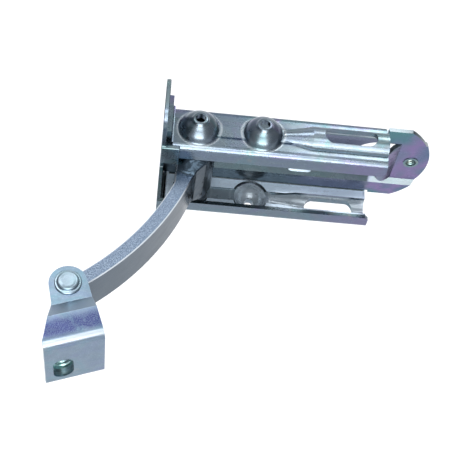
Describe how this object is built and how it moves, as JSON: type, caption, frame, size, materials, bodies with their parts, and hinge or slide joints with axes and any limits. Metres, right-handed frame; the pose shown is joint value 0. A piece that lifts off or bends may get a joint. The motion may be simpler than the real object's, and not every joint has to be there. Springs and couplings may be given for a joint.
{
  "type": "door limiter strap",
  "caption": "Zinc-plated door check: slotted guide channel with detent domes on a mounting plate, curved arm with sprung balls, and a pivoting clevis bracket.",
  "frame": {"origin": "middle of the front plate's outer face, between its two fixing holes", "axes": "+X along the channel from the front plate to the tail, +Y towards the closed back of the channel, +Z along the pivot axes"},
  "size_m": [0.1711, 0.1291, 0.096],
  "materials": {
    "zinc": "bright zinc plate with a bluish passivation",
    "bar": "satin zinc-plated bar",
    "ball": "polished hardened ball",
    "bush": "sintered bearing bush",
    "spring": "oiled spring wire",
    "seat": "moulded acetal"
  },
  "bodies": {
    "channel": {"housing": "zinc", "front_plate": "zinc", "tail_nut": "zinc"},
    "carrier": {"detent_spring": "spring"},
    "arm": {"arm": "bar", "pivot_bush": "bush"},
    "near_detent": {"near_ball": "ball", "near_seat": "seat"},
    "far_detent": {"far_ball": "ball", "far_seat": "seat"},
    "bracket": {"bracket": "zinc", "bracket_nut": "zinc", "pivot_rivet": "zinc"}
  },
  "joints": [
    {"name": "hub_slide", "type": "slide", "parent": "channel", "child": "carrier", "axis": [1, 0, 0], "range_m": [0, 0.066]},
    {"name": "arm_swing", "type": "hinge", "parent": "carrier", "child": "arm", "pos_m": [0.0165, 0, 0], "axis": [0, 0, 1], "range_deg": [-47.9, 0]},
    {"name": "near_ball_press", "type": "slide", "parent": "carrier", "child": "near_detent", "axis": [0, 0, -1], "range_m": [0, 0.0025], "stiffness_N_per_m": 8000, "springref_m": -0.003, "deforming": ["detent_spring"]},
    {"name": "far_ball_press", "type": "slide", "parent": "carrier", "child": "far_detent", "axis": [0, 0, 1], "range_m": [0, 0.0025], "stiffness_N_per_m": 8000, "springref_m": -0.003, "deforming": ["detent_spring"]},
    {"name": "bracket_pivot", "type": "hinge", "parent": "arm", "child": "bracket", "pos_m": [-0.034, -0.0783, 0], "axis": [0, 0, 1], "range_deg": [-40, 30]}
  ],
  "couplings": [
    {"joint": "arm_swing", "follows": "hub_slide", "rad_per_m": -12.64}
  ]
}
